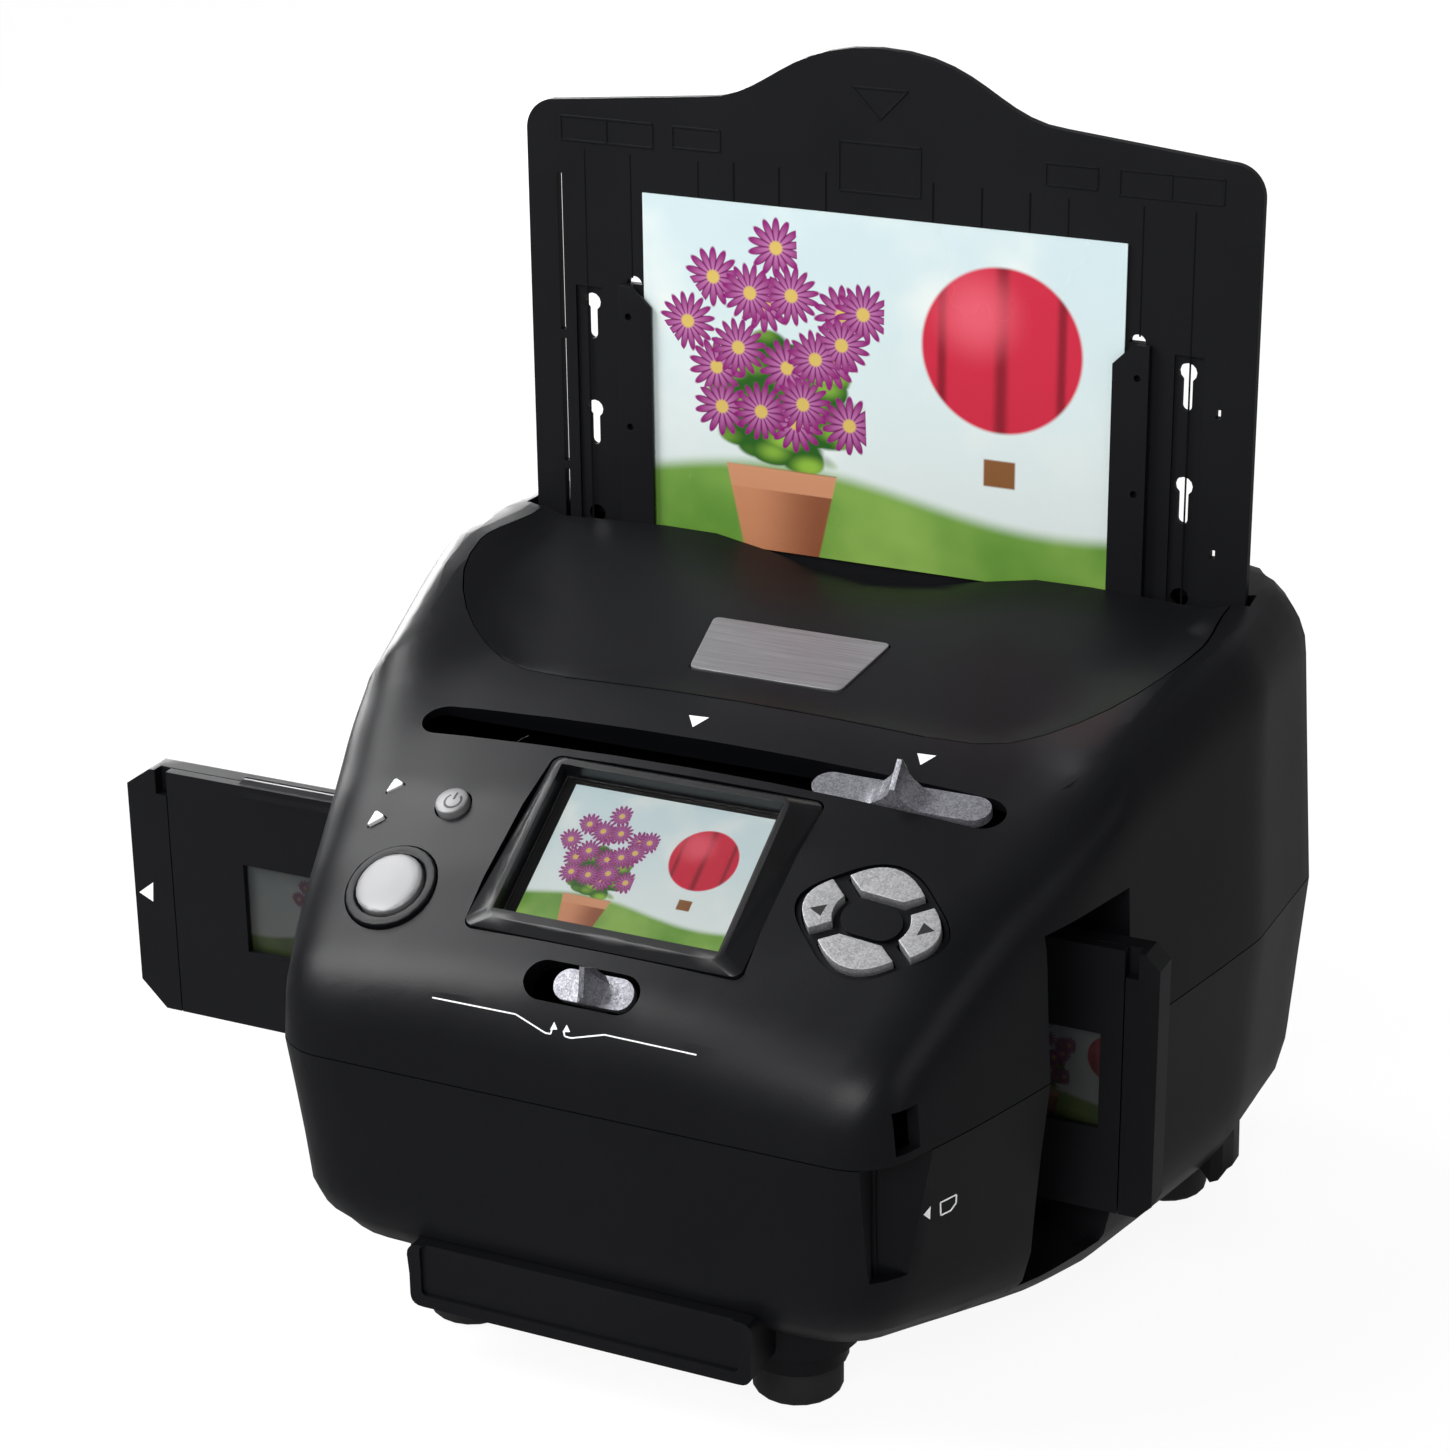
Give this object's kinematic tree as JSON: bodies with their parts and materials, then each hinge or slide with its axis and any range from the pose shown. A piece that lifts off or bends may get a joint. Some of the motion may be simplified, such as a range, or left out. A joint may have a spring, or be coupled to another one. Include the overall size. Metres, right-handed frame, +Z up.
{
  "type": "desktop film and print scanner",
  "caption": "Desktop scanner with a sloping control panel, picture display, sliding film holder through its sides and a lift-out print tray standing in its top.",
  "frame": {"origin": "middle of the box round the scanner, on the desk under its feet", "axes": "+X to the scanner's right as its user sees it, +Y to its back, +Z up"},
  "size_m": [0.275, 0.208, 0.275],
  "materials": {
    "shell": "moulded black plastic, fine grain",
    "button": "satin silver paint",
    "badge": "satin silver paint",
    "carrier": "black plastic",
    "frame": "black engineering plastic",
    "lamp": "white diffusing plastic",
    "foot": "black rubber",
    "metal": "plain steel",
    "glass": "clear",
    "board": "green circuit board",
    "picture": "coloured picture, gloss",
    "film": "brown film"
  },
  "bodies": {
    "housing": {"upper_case": "shell", "lower_case": "shell", "brow_panel": "shell", "display_bezel": "shell", "scan_ring": "shell", "key_pad_base": "shell", "badge_plate": "badge", "lens_barrel": "carrier", "chassis": "frame", "film_gate": "frame", "tray_guide_left": "frame", "tray_guide_right": "frame", "print_lamp_window": "lamp", "film_lamp_window": "lamp", "foot_front_left": "foot", "foot_front_right": "foot", "foot_rear_left": "foot", "foot_rear_right": "foot", "case_screw_1": "metal", "case_screw_2": "metal", "case_screw_3": "metal", "case_screw_4": "metal", "lower_guide_rod": "metal", "upper_guide_rod": "metal", "usb_socket": "metal", "card_socket": "metal", "display_window": "glass", "lens_glass": "glass", "control_board": "board", "main_board": "board", "sensor_board": "board", "side_board": "board", "display_module": "picture"},
    "photo_tray": {"tray_plate": "carrier", "tray_rail_left": "carrier", "tray_rail_right": "carrier", "tray_print": "picture"},
    "film_holder": {"holder_base": "carrier", "holder_lid": "carrier", "holder_hinge_pin": "metal", "film_strip": "film"},
    "mode_slider": {"mode_knob": "button", "backlight_carriage": "frame", "light_panel": "lamp"},
    "lens_slider": {"lens_knob": "button", "lens_lever": "frame"},
    "power_push": {"power_button": "button"},
    "scan_push": {"scan_button": "button"},
    "enter_push": {"enter_key": "button"},
    "mode_push": {"mode_key": "button"},
    "left_push": {"left_key": "button"},
    "right_push": {"right_key": "button"}
  },
  "joints": [
    {"name": "tray_slide", "type": "slide", "parent": "housing", "child": "photo_tray", "axis": [0, 0, 1], "range_m": [-0.072, 0.05]},
    {"name": "holder_slide", "type": "slide", "parent": "housing", "child": "film_holder", "axis": [1, 0, 0], "range_m": [-0.078, 0.275]},
    {"name": "mode_slide", "type": "slide", "parent": "housing", "child": "mode_slider", "axis": [1, 0, 0], "range_m": [-0.0565, 0]},
    {"name": "lens_slide", "type": "slide", "parent": "housing", "child": "lens_slider", "axis": [1, 0, 0], "range_m": [-0.0055, 0]},
    {"name": "power_press", "type": "slide", "parent": "housing", "child": "power_push", "axis": [0.0776, 0.4227, -0.9029], "range_m": [0, 0.0008], "stiffness_N_per_m": 400},
    {"name": "scan_press", "type": "slide", "parent": "housing", "child": "scan_push", "axis": [0.0995, 0.527, -0.844], "range_m": [0, 0.0008], "stiffness_N_per_m": 400},
    {"name": "enter_press", "type": "slide", "parent": "housing", "child": "enter_push", "axis": [-0.0892, 0.4943, -0.8647], "range_m": [0, 0.0008], "stiffness_N_per_m": 400},
    {"name": "mode_press", "type": "slide", "parent": "housing", "child": "mode_push", "axis": [-0.0892, 0.4943, -0.8647], "range_m": [0, 0.0008], "stiffness_N_per_m": 400},
    {"name": "left_press", "type": "slide", "parent": "housing", "child": "left_push", "axis": [-0.0892, 0.4943, -0.8647], "range_m": [0, 0.0008], "stiffness_N_per_m": 400},
    {"name": "right_press", "type": "slide", "parent": "housing", "child": "right_push", "axis": [-0.0892, 0.4943, -0.8647], "range_m": [0, 0.0008], "stiffness_N_per_m": 400}
  ]
}
